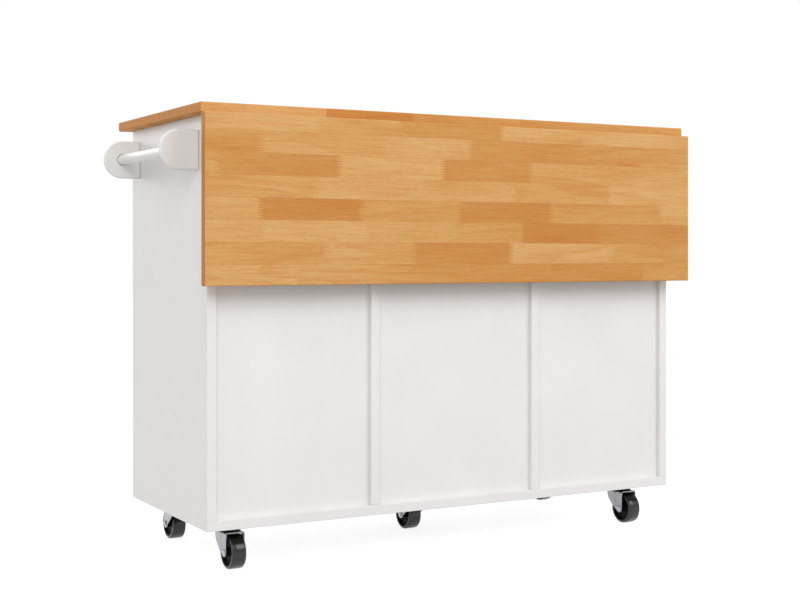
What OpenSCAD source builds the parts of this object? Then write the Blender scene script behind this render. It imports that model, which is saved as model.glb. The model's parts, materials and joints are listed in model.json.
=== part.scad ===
// Drop leaf kitchen island on five casters: white cabinet with three bays, butcher-block worktop,
// a drop leaf along the back on butt hinges and folding supports, and a towel rack on one end.
// The leaf hangs on the +Y side, the doors and drawers face -Y, the towel rack is on the +X end.

/* [Cabinet] */
// Length of the carcass over its side panels
body_l = 1155; // [1080:1:1300]
// Depth of the side panels
body_d = 445; // [420:5:480]
// Height of the side panels, from bottom board to worktop
body_h = 802; // [780:1:840]
// Thickness of the side panels
side_t = 20; // [18:0.5:24]
// Thickness of the two dividers
divider_t = 20; // [18:0.5:24]
// Thickness of the bottom board
bottom_t = 21; // [17:0.5:24]
// Clear width of the middle bay, between the dividers
mid_bay_w = 385; // [360:1:420]
// Width of the stretcher rails under the worktop
rail_w = 60; // [45:1:80]
// Thickness of the stretcher rails
rail_t = 18; // [15:0.5:22]

/* [Back panels] */
// Thickness of the back panels
back_t = 6; // [4:0.5:9]
// Depth of the panels' faces behind the edges of the boards
back_recess = 10; // [7:0.5:16]
// Depth of the grooves that hold the panels
groove_d = 6; // [4:0.5:8]

/* [Worktop] */
// Thickness of the worktop and the drop leaf
top_t = 20; // [18:0.5:28]
// Overhang of the worktop at each end
over_end = 24; // [15:1:40]
// Overhang of the worktop at the back, over the folded supports
over_back = 27; // [26.5:0.5:40]
// Overhang of the worktop at the front, over the doors
over_front = 40; // [30:1:60]

/* [Drop leaf] */
// Width of the drop leaf, from hinge edge to free edge
leaf_w = 338; // [320:1:400]
// Gap between worktop and raised leaf
leaf_gap = 0.5; // [0.4:0.1:1.5]
// Length of one leaf hinge
hinge_l = 70; // [50:1:100]
// Distance of the outer hinges' centres from the worktop's ends
hinge_inset = 150; // [100:1:220]
// Width of one hinge plate beside the knuckles
hinge_w = 24; // [18:0.5:25]
// Thickness of the hinge plates
hinge_t = 1.5; // [1.2:0.1:2]
// Radius of the hinge knuckles
knuckle_r = 2.2; // [2:0.1:3]
// Radius of the hinge pins
hinge_pin_r = 1.1; // [0.9:0.1:1.3]
// Number of knuckles on a hinge
knuckles = 5; // [3:2:7]

/* [Leaf supports] */
// Length of a strut between its pivot and its foot
strut_l = 165; // [155:1:175]
// Turn of a strut from hanging to bracing, in degrees
strut_swing = 50; // [46:1:52]
// Width of a strut
strut_w = 10; // [8:0.5:11]
// Height of a strut's section, and the diameter of its foot
strut_h = 8; // [6:0.5:8.5]
// Outer width of the tracks and support arms
channel_w = 18; // [16:0.5:20]
// Depth of the tracks and support arms
channel_d = 12; // [10:0.5:12.5]
// Sheet thickness of the tracks and support arms
channel_t = 1.5; // [1:0.1:2]
// Radius of the strut pivot pins
strut_pin_r = 2; // [1.5:0.1:2.5]

/* [Doors and drawer fronts] */
// Thickness of the doors and drawer fronts
front_t = 16; // [15:0.5:19]
// Gap between neighbouring fronts, and under the worktop
front_gap = 3; // [2:0.5:4]
// Gap between a closed front and the carcass
front_standoff = 1.5; // [1.4:0.1:2.5]
// Height of the top drawer's front
top_front_h = 190; // [170:1:230]
// Width of the frame round a door's sunk panel
door_frame_w = 60; // [50:1:75]
// Width of the frame round a drawer front's sunk panel
drawer_frame_w = 42; // [35:1:50]
// Depth of the sunk panels
sunk_d = 5; // [3:0.5:7]

/* [Handles] */
// Length of a bar handle
handle_l = 160; // [140:1:200]
// Distance between a handle's two posts
handle_posts = 128; // [96:1:130]
// Radius of the handle's bar
bar_r = 5; // [4:0.5:6]
// Radius of the handle's posts
post_r = 4; // [3:0.5:4.5]
// Distance from a door's face to the middle of the bar
handle_out = 21; // [18:0.5:22]
// Distance from a door's top edge to its handle's centre
handle_drop = 170; // [120:1:260]

/* [Door hinges] */
// Radius of a hinge cup
cup_r = 17.5; // [13:0.5:17.5]
// Depth of a hinge cup in the door
cup_depth = 11.5; // [10:0.5:12]
// Distance from the cup's rim to the door's edge
cup_edge = 5; // [4:0.5:6]
// Distance from a door's top and bottom edge to its hinges
cup_inset = 95; // [70:1:140]
// Width of a hinge arm
arm_w = 10; // [8:0.5:11]

/* [Shelves] */
// Thickness of a shelf
shelf_t = 18; // [15:0.5:22]
// Distance of a shelf's front edge behind the carcass's front
shelf_set = 28; // [10:1:90]
// Side play of a shelf between the boards
shelf_play = 1; // [0.5:0.1:1.5]
// Distance between the rows of shelf pin holes
pin_pitch = 64; // [32:1:80]
// Radius of a shelf pin
pin_r = 2.5; // [2:0.1:3]
// Depth of a shelf pin hole
pin_hole_d = 9; // [6:0.5:9]

/* [Drawers] */
// Gap between a drawer box and the back panel
box_gap = 40.5; // [30:0.5:90]
// Thickness of the drawer boards
box_t = 12; // [10:0.5:15]
// Thickness of the drawer bottoms
box_bottom_t = 5; // [4:0.5:6]
// Height of the top drawer's box
box_top_h = 120; // [90:1:130]
// Height of the two lower drawers' boxes
box_low_h = 200; // [150:1:240]
// Thickness of a closed drawer slide
slide_t = 12.7; // [12:0.1:13.5]
// Height of a drawer slide
slide_h = 35; // [27:1:45]
// Distance from a slide's rear end to the drawer box's back
slide_gap = 2.5; // [0:0.5:60]
// Sheet thickness of the drawer slides
slide_sheet = 1.2; // [1:0.1:1.5]

/* [Towel rack] */
// Reach of the rack from the side panel
rack_out = 82; // [70:1:100]
// Height of the rack's two arms
rack_h = 82; // [64:1:90]
// Thickness of the rack's arms
rack_t = 10; // [9:0.5:16]
// Distance from the doors' faces to the middle of the front arm
rack_inset_front = 55; // [45:1:90]
// Distance from the cabinet's back to the middle of the rear arm
rack_inset_back = 47; // [40:1:90]
// Distance from the worktop's underside to the middle of the arms
rack_drop = 69; // [55:1:110]
// Radius of the towel rod
rod_r = 11; // [8:0.5:14]

/* [Casters] */
// Radius of a wheel
wheel_r = 35; // [30:0.5:38]
// Width of a wheel
wheel_w = 30.5; // [24:0.5:34]
// Gap between a wheel's tread and the legs of its fork
leg_gap = 3.5; // [1:0.5:6]
// Distance from the swivel axis to the wheel's axle
trail = 18; // [15:0.5:22]
// Height of the swivel race over the fork
race_h = 12.7; // [11:0.1:18]
// Radius of the swivel race
race_r = 24; // [20:0.5:24.5]
// Side of the square caster plate
plate_w = 64; // [62:1:70]
// Thickness of the caster plate
plate_t = 2.5; // [2:0.1:3]
// Distance between the screws of a caster plate
plate_screws = 46; // [44:1:50]
// Sheet thickness of a fork
fork_t = 2.3; // [2:0.1:3]
// Distance from the carcass's end at the towel rack to the swivel axes
caster_inset_rack = 79; // [60:1:110]
// Distance from the carcass's other end to the swivel axes
caster_inset_far = 75; // [60:1:110]
// Distance from the doors' faces and from the cabinet's back to the swivel axes
caster_inset_y = 76; // [70:1:95]
// Offset of the middle caster from the carcass's middle, away from the towel rack
caster_mid_x = -15; // [-40:1:40]
// Offset of the middle caster from the carcass's middle, towards the doors
caster_mid_y = -6; // [-20:1:20]

/* [Hidden] */

$fn = 48;

// Clearances
running = 0.05;     // radial play of pins and axles in their bores
play = 0.3;         // play between sliding or turning faces
seat_play = 0.1;    // play of boards in their grooves and of joints inside a drawer box
bracket_gap = 3;    // gap between a bracket's end and the board that it stops short of
cut = 1;            // overshoot of a cut past the face it opens

// Colours
white = [0.93, 0.92, 0.90];
beech = [0.85, 0.64, 0.39];
steel = [0.72, 0.73, 0.74];
dark_steel = [0.20, 0.20, 0.21];
black = [0.06, 0.06, 0.06];
birch = [0.86, 0.77, 0.62];

// Heights
crown_gap = 2.5;
caster_h = 2 * wheel_r + crown_gap + fork_t + race_h + plate_t;
z_board = caster_h;
z_floor = z_board + bottom_t;
z_top = z_floor + body_h;

// Plan of the carcass, centred on the origin until in_frame() moves it
y_back = body_d / 2;
y_front = -body_d / 2;
half_mid = mid_bay_w / 2;
divider_x = half_mid + divider_t / 2;
outer_bay_w = body_l / 2 - side_t - half_mid - divider_t;
outer_bay_x = half_mid + divider_t + outer_bay_w / 2;
panel_y = y_back - back_recess - back_t;
bays = [[-outer_bay_x, outer_bay_w], [0, mid_bay_w], [outer_bay_x, outer_bay_w]];

// Leaf hinge axis: as far out and down from the worktop's lower edge as the knuckles need
hinge_set = (knuckle_r + play) / sqrt(2);
axis_y = y_back + over_back + hinge_set;
axis_z = z_top - hinge_set;
leaf_face_y = axis_y + hinge_set;
leaf_top_z = z_top - leaf_gap;
leaf_l = body_l + 2 * over_end;
hinge_xs = [for (side = [-1, 0, 1]) side * (leaf_l / 2 - hinge_inset)];

// Leaf supports: the foot stands in the track, the pivot sits in the arm on the leaf
foot_y = y_back + channel_t + play + strut_h / 2;
pivot_y = leaf_face_y - channel_t - play - strut_h / 2;
strut_rest = asin((pivot_y - foot_y) / strut_l);
strut_reach = strut_l * sin(strut_rest + strut_swing) - (axis_y - foot_y);
pivot_z = axis_z - strut_reach;
foot_z = pivot_z - strut_l * cos(strut_rest);
track_bottom = foot_z - strut_h;
track_top = z_top - 2 * bracket_gap;
arm_end = strut_h;

// Fronts
front_y = y_front - front_standoff;
face_y = front_y - front_t;
fronts_top = z_top - front_gap;
fronts_bottom = z_board;
low_front_h = (fronts_top - fronts_bottom - top_front_h - 2 * front_gap) / 2;
front_hs = [top_front_h, low_front_h, low_front_h];
front_zs = [fronts_top - top_front_h, fronts_bottom + low_front_h + front_gap, fronts_bottom];
mid_front_w = 2 * divider_x - front_gap;
door_in = divider_x + front_gap / 2;
door_out = body_l / 2 - front_gap / 2;
door_w = door_out - door_in;
door_h = fronts_top - fronts_bottom;

// Drawers
box_w = mid_bay_w - 2 * slide_t;
box_d = panel_y - box_gap - front_y;
box_hs = [box_top_h, box_low_h, box_low_h];
box_lift = bottom_t + slide_t;
slide_lift = 45;        // height of a slide's middle over the box's lower edge
slide_set = 1;          // distance of a slide's front end behind the carcass's front
slide_l = box_d - front_standoff - slide_set - slide_gap;
slide_depth = slide_t - 3;

// Towel rack
rack_x = body_l / 2;
rack_r = rack_h / 2;
rod_x = rack_x + rack_out - rack_r;
rod_z = z_top - rack_drop;
rack_ys = [face_y + rack_inset_front, y_back - rack_inset_back];
rod_seat = 6;

// Casters, counted from the leaf's left: [x, y, direction of trail]
caster_left = -body_l / 2 + caster_inset_far;
caster_right = body_l / 2 - caster_inset_rack;
caster_back = y_back - caster_inset_y;
caster_front = face_y + caster_inset_y;
casters = [[caster_left, caster_back, 1], [caster_right, caster_back, 1], [caster_left, caster_front, -1],
    [caster_right, caster_front, -1], [caster_mid_x, caster_mid_y, -1]];
axle_r = 3;
kingpin_r = 5;
fork_in = wheel_w + 2 * leg_gap;
fork_out = fork_in + 2 * fork_t;
crown_z = 2 * wheel_r + crown_gap;

// The row's origin is the middle of the footprint, on the floor
reach_right = body_l / 2 + max(rack_out, over_end);
reach_left = body_l / 2 + over_end;
reach_back = leaf_face_y + top_t;
reach_front = max(-y_front + over_front, -face_y + handle_out + bar_r);

module in_frame() {
    translate([(reach_left - reach_right) / 2, (reach_front - reach_back) / 2, 0]) children();
}

module at(x, y, z) {
    translate([x, y, z]) children();
}

// A box given by its lowest and its highest corner
module block(low, high) {
    translate(low) cube(high - low);
}

// A round bar along X, from x0 to x1
module bar_x(x0, x1, y, z, r) {
    translate([x0, y, z]) rotate([0, 90, 0]) cylinder(h = x1 - x0, r = r);
}

// A round bar along Y, from y0 to y1
module bar_y(x, y0, y1, z, r) {
    translate([x, y0, z]) rotate([-90, 0, 0]) cylinder(h = y1 - y0, r = r);
}

// Mirrors its children to the -X side for side = -1
module to_side(side) {
    mirror([side < 0 ? 1 : 0, 0, 0]) children();
}

// ---- Carcass ----

// The grooves of all three back panels, as one cutter
module back_grooves() {
    for (bay = bays)
        block([bay[0] - bay[1] / 2 - groove_d, panel_y - seat_play, z_floor - groove_d],
            [bay[0] + bay[1] / 2 + groove_d, panel_y + back_t + seat_play, z_top + cut]);
}

// The rows of shelf pin holes on both sides of the outer bays
pin_inset = 55;
pin_rows = [-2, -1, 0, 1, 2];
pin_ys = [y_front + pin_inset, panel_y - pin_inset];
function pin_z(row) = z_floor + body_h / 2 + row * pin_pitch;

module shelf_pin_holes() {
    for (side = [-1, 1], y = pin_ys, row = pin_rows)
        bar_x(side * outer_bay_x - outer_bay_w / 2 - pin_hole_d,
            side * outer_bay_x + outer_bay_w / 2 + pin_hole_d, y, pin_z(row), pin_r + running);
}

module bottom_board() {
    color(white) in_frame() difference() {
        block([-body_l / 2, y_front, z_board], [body_l / 2, y_back, z_floor]);
        back_grooves();
        caster_screw_holes();
    }
}

module side_panel(side) {
    color(white) in_frame() difference() {
        to_side(side) block([body_l / 2 - side_t, y_front, z_floor], [body_l / 2, y_back, z_top]);
        back_grooves();
        shelf_pin_holes();
    }
}

module divider(side) {
    color(white) in_frame() difference() {
        to_side(side) block([half_mid, y_front, z_floor], [half_mid + divider_t, y_back, z_top]);
        back_grooves();
        shelf_pin_holes();
    }
}

module back_panel(i) {
    half_w = bays[i][1] / 2 + groove_d - 2 * seat_play;
    color(white) in_frame()
        block([bays[i][0] - half_w, panel_y, z_floor - groove_d + 2 * seat_play],
            [bays[i][0] + half_w, panel_y + back_t, z_top]);
}

module top_rails() {
    color(white) in_frame() for (bay = bays, y = [y_front, panel_y - rail_w])
        block([bay[0] - bay[1] / 2, y, z_top - rail_t], [bay[0] + bay[1] / 2, y + rail_w, z_top]);
}

// ---- Worktop and leaf ----

module countertop() {
    color(beech) in_frame()
        block([-leaf_l / 2, y_front - over_front, z_top], [leaf_l / 2, y_back + over_back, z_top + top_t]);
}

// Room for the knuckles in the leaf's inner face
module hinge_notches() {
    r = knuckle_r + play;
    for (x = hinge_xs)
        block([x - hinge_l / 2 - play, axis_y - r, axis_z - r],
            [x + hinge_l / 2 + play, axis_y + r, axis_z + r]);
}

module drop_leaf() {
    color(beech) in_frame() difference() {
        block([-leaf_l / 2, leaf_face_y, leaf_top_z - leaf_w], [leaf_l / 2, leaf_face_y + top_t, leaf_top_z]);
        hinge_notches();
    }
}

// Half of a butt hinge at rest: its plate hangs down, its tongues carry every second knuckle
module hinge_half(first) {
    pitch = hinge_l / knuckles;
    r = knuckle_r + play;
    difference() {
        union() {
            block([-hinge_l / 2, hinge_set - hinge_t, -r - hinge_w], [hinge_l / 2, hinge_set, -r]);
            for (i = [first : 2 : knuckles - 1]) {
                x0 = -hinge_l / 2 + i * pitch + play / 2;
                x1 = x0 + pitch - play;
                block([x0, hinge_set - hinge_t, -r], [x1, hinge_set, 0]);
                bar_x(x0, x1, 0, 0, knuckle_r);
            }
        }
        bar_x(-hinge_l, hinge_l, 0, 0, hinge_pin_r + running);
    }
}

// The halves under the worktop, each with the hinge's pin
module leaf_hinge_plates() {
    color(steel) in_frame() for (x = hinge_xs) at(x, axis_y, axis_z) {
        mirror([0, 1, -1]) hinge_half(0);
        bar_x(-hinge_l / 2, hinge_l / 2, 0, 0, hinge_pin_r);
    }
}

module leaf_hinge_flaps() {
    color(steel) in_frame() for (x = hinge_xs)
        at(x, axis_y, axis_z) hinge_half(1);
}

// ---- Leaf supports ----

// A U channel along Z with its base on y = 0 and its mouth towards +Y
module channel(z0, z1) {
    difference() {
        block([-channel_w / 2, 0, z0], [channel_w / 2, channel_d, z1]);
        block([-channel_w / 2 + channel_t, channel_t, z0 - cut],
            [channel_w / 2 - channel_t, channel_d + cut, z1 + cut]);
    }
}

module support_tracks() {
    color(steel) in_frame() for (side = [-1, 1])
        at(side * divider_x, y_back, 0) channel(track_bottom, track_top);
}

module support_arms() {
    color(steel) in_frame() for (side = [-1, 1]) at(side * divider_x, 0, 0) {
        at(0, leaf_face_y, 0) mirror([0, 1, 0]) channel(pivot_z - arm_end, leaf_top_z - channel_d - bracket_gap);
        bar_x(-channel_w / 2, channel_w / 2, pivot_y, pivot_z, strut_pin_r);
    }
}

module strut(side) {
    foot_w = channel_w - 2 * channel_t - 4 * play;
    color(steel) in_frame() at(side * divider_x, pivot_y, pivot_z)
        rotate([-strut_rest, 0, 0]) difference() {
            union() {
                block([-strut_w / 2, -strut_h / 2, -strut_l], [strut_w / 2, strut_h / 2, 0]);
                bar_x(-strut_w / 2, strut_w / 2, 0, 0, strut_h / 2);
                bar_x(-foot_w / 2, foot_w / 2, 0, -strut_l, strut_h / 2);
            }
            bar_x(-strut_w, strut_w, 0, 0, strut_pin_r + running);
        }
}

// ---- Shelves ----

shelf_y = y_front + shelf_set;
shelf_d = panel_y - bracket_gap - shelf_y;

module shelf(side) {
    half_w = outer_bay_w / 2 - shelf_play;
    z = pin_z(0) + pin_r;
    color(white) in_frame() to_side(side)
        block([outer_bay_x - half_w, shelf_y, z], [outer_bay_x + half_w, shelf_y + shelf_d, z + shelf_t]);
}

module shelf_pins() {
    ledge = 7;
    reach = shelf_play + ledge;
    color(steel) in_frame() for (side = [-1, 1], end = [-1, 1], y = pin_ys)
        at(side * outer_bay_x + end * outer_bay_w / 2, y, pin_z(0)) to_side(end)
            bar_x(-reach, pin_hole_d - seat_play, 0, 0, pin_r);
}

// ---- Doors ----

// A front with a sunk panel inside a frame, seen from -Y
module framed_front(x0, x1, z0, z1, frame_w) {
    difference() {
        block([x0, face_y, z0], [x1, front_y, z1]);
        block([x0 + frame_w, face_y - cut, z0 + frame_w], [x1 - frame_w, face_y + sunk_d, z1 - frame_w]);
    }
}

cup_x = door_out - cup_edge - cup_r;
cup_zs = [fronts_bottom + cup_inset, fronts_top - cup_inset];
cup_wall = 1;
flange_t = 1.1;

module door(side) {
    color(white) in_frame() to_side(side) difference() {
        framed_front(door_in, door_out, fronts_bottom, fronts_top, door_frame_w);
        for (z = cup_zs) bar_y(cup_x, front_y - cup_depth, front_y + cut, z, cup_r);
    }
}

module door_hinge_cups(side) {
    wing_w = 12;
    wing_l = 50;
    color(steel) in_frame() to_side(side) for (z = cup_zs) difference() {
        union() {
            bar_y(cup_x, front_y - cup_depth, front_y + flange_t, z, cup_r);
            block([cup_x - wing_w, front_y, z - wing_l / 2], [cup_x, front_y + flange_t, z + wing_l / 2]);
        }
        bar_y(cup_x, front_y - cup_depth + cup_wall, front_y + cut + flange_t, z, cup_r - cup_wall);
    }
}

// Arm and base plate of a concealed hinge, on the inside of the side panel
module door_hinge_arms() {
    base_l = 44;
    base_h = 36;
    base_t = 3;
    arm_h = 12;
    tip = 6;
    panel_x = body_l / 2 - side_t;
    arm_x = panel_x - base_t - cut;
    base_y = y_front + front_t;
    color(steel) in_frame() for (side = [-1, 1], z = cup_zs) to_side(side) union() {
        block([panel_x - base_t, base_y, z - base_h / 2], [panel_x, base_y + base_l, z + base_h / 2]);
        block([arm_x - arm_w, front_y - tip, z - arm_h / 2], [arm_x, base_y + base_l - cut, z + arm_h / 2]);
        block([arm_x - arm_w, base_y + cut, z - arm_h / 2], [panel_x, base_y + base_l - 2 * cut, z + arm_h / 2]);
    }
}

// A bar handle along Z, standing on a face at y = 0 and reaching towards -Y
module bar_handle(out) {
    at(0, -out, -handle_l / 2) cylinder(h = handle_l, r = bar_r);
    for (end = [-1, 1]) bar_y(0, -out, 0, end * handle_posts / 2, post_r);
}

module door_handle(side) {
    color(black) in_frame() to_side(side)
        at(door_in + door_frame_w / 2, face_y, fronts_top - handle_drop) bar_handle(handle_out);
}

// ---- Drawers, counted from the top ----

module drawer_front(i) {
    color(white) in_frame()
        framed_front(-mid_front_w / 2, mid_front_w / 2, front_zs[i], front_zs[i] + front_hs[i], drawer_frame_w);
}

module drawer_handle(i) {
    color(black) in_frame() at(0, face_y + sunk_d, front_zs[i] + front_hs[i] / 2)
        rotate([0, 90, 0]) bar_handle(handle_out + sunk_d);
}

// Five boards: two sides, a back and an inner front between them, and a bottom in their grooves
module drawer_box(i) {
    h = box_hs[i];
    half = box_w / 2;
    inner = half - box_t;
    tongue = box_t / 2;
    bottom_z = 8;
    color(birch) in_frame() at(0, front_y, front_zs[i] + box_lift) {
        difference() {
            union() {
                for (side = [-1, 1]) to_side(side) block([inner, 0, 0], [half, box_d, h]);
                for (y = [0, box_d - box_t])
                    block([-inner + seat_play, y, 0], [inner - seat_play, y + box_t, h]);
            }
            block([-inner - tongue, tongue, bottom_z - seat_play],
                [inner + tongue, box_d - tongue, bottom_z + box_bottom_t + seat_play]);
        }
        block([-inner - tongue + seat_play, tongue + seat_play, bottom_z],
            [inner + tongue - seat_play, box_d - tongue - seat_play, bottom_z + box_bottom_t]);
    }
}

// A U section along Y with its web on x = 0 and its flanges towards -X
module slide_section(h, depth) {
    difference() {
        block([-depth, 0, -h / 2], [0, slide_l, h / 2]);
        block([-depth - cut, -cut, -h / 2 + slide_sheet], [-slide_sheet, slide_l + cut, h / 2 - slide_sheet]);
    }
}

module drawer_slide_rails() {
    color(steel) in_frame() for (i = [0 : 2], side = [-1, 1]) to_side(side)
        at(half_mid, y_front + slide_set, front_zs[i] + box_lift + slide_lift)
            slide_section(slide_h, slide_depth);
}

module drawer_slides(i) {
    inner_h = slide_h - 2 * slide_sheet - 2 * play;
    color(steel) in_frame() for (side = [-1, 1]) to_side(side)
        at(box_w / 2, y_front + slide_set, front_zs[i] + box_lift + slide_lift) mirror([1, 0, 0])
            slide_section(inner_h, slide_depth);
}

// ---- Towel rack ----

module rack_arm(y_mid, rod_dir) {
    color(white) in_frame() difference() {
        at(0, y_mid + rack_t / 2, 0) rotate([90, 0, 0]) linear_extrude(rack_t) {
            translate([rack_x, rod_z - rack_r]) square([rod_x - rack_x, rack_h]);
            translate([rod_x, rod_z]) circle(r = rack_r);
        }
        bar_y(rod_x, y_mid + rod_dir * rack_t / 2 - rod_seat, y_mid + rod_dir * rack_t / 2 + rod_seat,
            rod_z, rod_r + seat_play);
    }
}

module towel_rod() {
    end = rack_t / 2 - rod_seat + seat_play;
    color(white) in_frame() bar_y(rod_x, rack_ys[0] + end, rack_ys[1] - end, rod_z, rod_r);
}

// ---- Casters ----

// Children stand at a caster's swivel axis, on the floor, with the trail towards +Y
module at_caster(i) {
    at(casters[i][0], casters[i][1], 0) rotate([0, 0, casters[i][2] > 0 ? 0 : 180]) children();
}

module at_plate_screws() {
    for (x = [-1, 1], y = [-1, 1]) at(x * plate_screws / 2, y * plate_screws / 2, z_board) children();
}

screw_r = 2;
screw_l = 11;
screw_head_r = 4;
screw_head_h = 2.2;

module caster_screw_holes() {
    for (i = [0 : 4]) at_caster(i) at_plate_screws()
        at(0, 0, -cut) cylinder(h = screw_l + cut + play, r = screw_r + running);
}

module caster_screws() {
    color(steel) in_frame() for (i = [0 : 4]) at_caster(i) at_plate_screws() {
        at(0, 0, -plate_t) cylinder(h = plate_t + screw_l, r = screw_r);
        at(0, 0, -plate_t - screw_head_h) cylinder(h = screw_head_h, r = screw_head_r);
    }
}

// Plate, swivel race and riveted kingpin
module caster_plates() {
    head_h = 2.5;
    color(dark_steel) in_frame() for (i = [0 : 4]) at_caster(i) difference() {
        union() {
            block([-plate_w / 2, -plate_w / 2, z_board - plate_t], [plate_w / 2, plate_w / 2, z_board]);
            at(0, 0, crown_z + fork_t + play) cylinder(h = race_h - play, r = race_r);
            at(0, 0, crown_z - play - head_h) cylinder(h = fork_t + race_h, r = kingpin_r);
            at(0, 0, crown_z - play - head_h) cylinder(h = head_h, r = kingpin_r + 3);
        }
        at_plate_screws() at(0, 0, -plate_t - cut) cylinder(h = plate_t + 2 * cut, r = screw_r + play);
    }
}

// Side of a fork, drawn in Y and Z: wide under the crown, narrow round the axle
eye_r = 10.5;
fork_back = -race_r - 1;
fork_front = trail + eye_r;

module fork_side() {
    skirt = 10;
    waist = 17;
    polygon([[fork_back, crown_z + fork_t], [fork_back, crown_z - skirt], [fork_back + 5, wheel_r + waist],
        [trail - eye_r * cos(53), wheel_r - eye_r * sin(53)], [fork_front, wheel_r],
        [fork_front, crown_z + fork_t]]);
    intersection() {
        translate([trail, wheel_r]) circle(r = eye_r);
        square([fork_front, crown_z]);
    }
}

module caster_fork(i) {
    color(steel) in_frame() at_caster(i) difference() {
        rotate([90, 0, 90]) translate([0, 0, -fork_out / 2]) linear_extrude(fork_out) fork_side();
        block([-fork_in / 2, fork_back - cut, -cut], [fork_in / 2, fork_front + cut, crown_z]);
        at(0, 0, crown_z - cut) cylinder(h = fork_t + 2 * cut, r = kingpin_r + running);
        bar_x(-fork_out, fork_out, trail, wheel_r, axle_r + running);
    }
}

module caster_wheel(i) {
    tread_cut = 3;
    dish = 4;
    half = wheel_w / 2;
    web = half - dish;
    rim_r = wheel_r - 2 * dish;
    hub_r = 9;
    hub_half = fork_in / 2 - play;
    color(black) in_frame() at_caster(i) at(0, trail, wheel_r) rotate([0, 90, 0]) rotate_extrude($fn = 96)
        polygon([[axle_r + running, -hub_half], [hub_r, -hub_half], [hub_r, -web], [rim_r, -web],
            [rim_r + dish / 2, -half], [wheel_r - tread_cut, -half], [wheel_r, -half + tread_cut],
            [wheel_r, half - tread_cut], [wheel_r - tread_cut, half], [rim_r + dish / 2, half],
            [rim_r, web], [hub_r, web], [hub_r, hub_half], [axle_r + running, hub_half]]);
}

module caster_axle(i) {
    head_h = 2.5;
    nut_h = 3.5;
    hex_r = 5.8;
    color(steel) in_frame() at_caster(i) at(0, trail, wheel_r) {
        bar_x(-fork_out / 2 - nut_h, fork_out / 2, 0, 0, axle_r);
        at(fork_out / 2, 0, 0) rotate([0, 90, 0]) cylinder(h = head_h, r = hex_r, $fn = 6);
        at(-fork_out / 2 - nut_h, 0, 0) rotate([0, 90, 0]) cylinder(h = nut_h, r = hex_r, $fn = 6);
    }
}

bottom_board();
side_panel(-1);  // side_panel_left
side_panel(1);  // side_panel_right
divider(-1);  // divider_left
divider(1);  // divider_right
back_panel(0);  // back_panel_left
back_panel(1);  // back_panel_middle
back_panel(2);  // back_panel_right
top_rails();
countertop();
shelf(-1);  // shelf_left
shelf(1);  // shelf_right
shelf_pins();
rack_arm(rack_ys[0], 1);  // towel_arm_front
rack_arm(rack_ys[1], -1);  // towel_arm_back
towel_rod();
door_hinge_arms();
drawer_slide_rails();
leaf_hinge_plates();
support_tracks();
caster_plates();
caster_screws();
drop_leaf();
leaf_hinge_flaps();
support_arms();
strut(-1);  // strut_left
strut(1);  // strut_right
door(-1);  // door_left
door(1);  // door_right
door_handle(-1);  // door_left_handle
door_handle(1);  // door_right_handle
door_hinge_cups(-1);  // door_left_hinge_cups
door_hinge_cups(1);  // door_right_hinge_cups
drawer_front(0);  // drawer_1_front
drawer_box(0);  // drawer_1_box
drawer_handle(0);  // drawer_1_handle
drawer_slides(0);  // drawer_1_slides
drawer_front(1);  // drawer_2_front
drawer_box(1);  // drawer_2_box
drawer_handle(1);  // drawer_2_handle
drawer_slides(1);  // drawer_2_slides
drawer_front(2);  // drawer_3_front
drawer_box(2);  // drawer_3_box
drawer_handle(2);  // drawer_3_handle
drawer_slides(2);  // drawer_3_slides
caster_fork(0);  // caster_1_fork
caster_wheel(0);  // caster_1_wheel
caster_axle(0);  // caster_1_axle
caster_fork(1);  // caster_2_fork
caster_wheel(1);  // caster_2_wheel
caster_axle(1);  // caster_2_axle
caster_fork(2);  // caster_3_fork
caster_wheel(2);  // caster_3_wheel
caster_axle(2);  // caster_3_axle
caster_fork(3);  // caster_4_fork
caster_wheel(3);  // caster_4_wheel
caster_axle(3);  // caster_4_axle
caster_fork(4);  // caster_5_fork
caster_wheel(4);  // caster_5_wheel
caster_axle(4);  // caster_5_axle
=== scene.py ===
# %% [markdown]
# # A drop leaf kitchen island
#
# This notebook dresses a kitchen island that is already built as exact solids: a white cabinet on
# five casters, a butcher-block worktop, a drop leaf along the back and a towel rack on one end. The
# solids come in as a fixed frame, one object for each piece. What is left to do here is what a
# photographer would see: rounded edges, wood, lacquer, zinc and glossy black plastic, the pressed
# shapes of the casters, and all the small screws.

# %% Load the frame
import json
import math

import bpy
from mathutils import Matrix, Vector


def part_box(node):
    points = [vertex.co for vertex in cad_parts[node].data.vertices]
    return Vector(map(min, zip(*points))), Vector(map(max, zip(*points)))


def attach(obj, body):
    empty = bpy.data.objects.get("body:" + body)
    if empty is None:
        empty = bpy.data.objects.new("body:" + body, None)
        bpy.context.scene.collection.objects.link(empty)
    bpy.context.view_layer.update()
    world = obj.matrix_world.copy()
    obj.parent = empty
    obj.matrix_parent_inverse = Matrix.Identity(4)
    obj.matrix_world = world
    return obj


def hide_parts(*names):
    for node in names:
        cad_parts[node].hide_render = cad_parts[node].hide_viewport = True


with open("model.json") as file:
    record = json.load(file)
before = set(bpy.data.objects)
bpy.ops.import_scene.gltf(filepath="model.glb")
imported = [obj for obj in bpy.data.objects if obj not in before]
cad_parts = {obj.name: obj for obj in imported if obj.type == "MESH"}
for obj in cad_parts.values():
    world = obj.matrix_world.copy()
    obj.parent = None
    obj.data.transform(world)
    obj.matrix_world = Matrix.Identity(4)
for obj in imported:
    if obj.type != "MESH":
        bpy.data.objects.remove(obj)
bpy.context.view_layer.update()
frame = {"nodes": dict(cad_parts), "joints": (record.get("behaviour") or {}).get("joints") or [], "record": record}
NODES = frame["nodes"]
MM = 0.001

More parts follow.
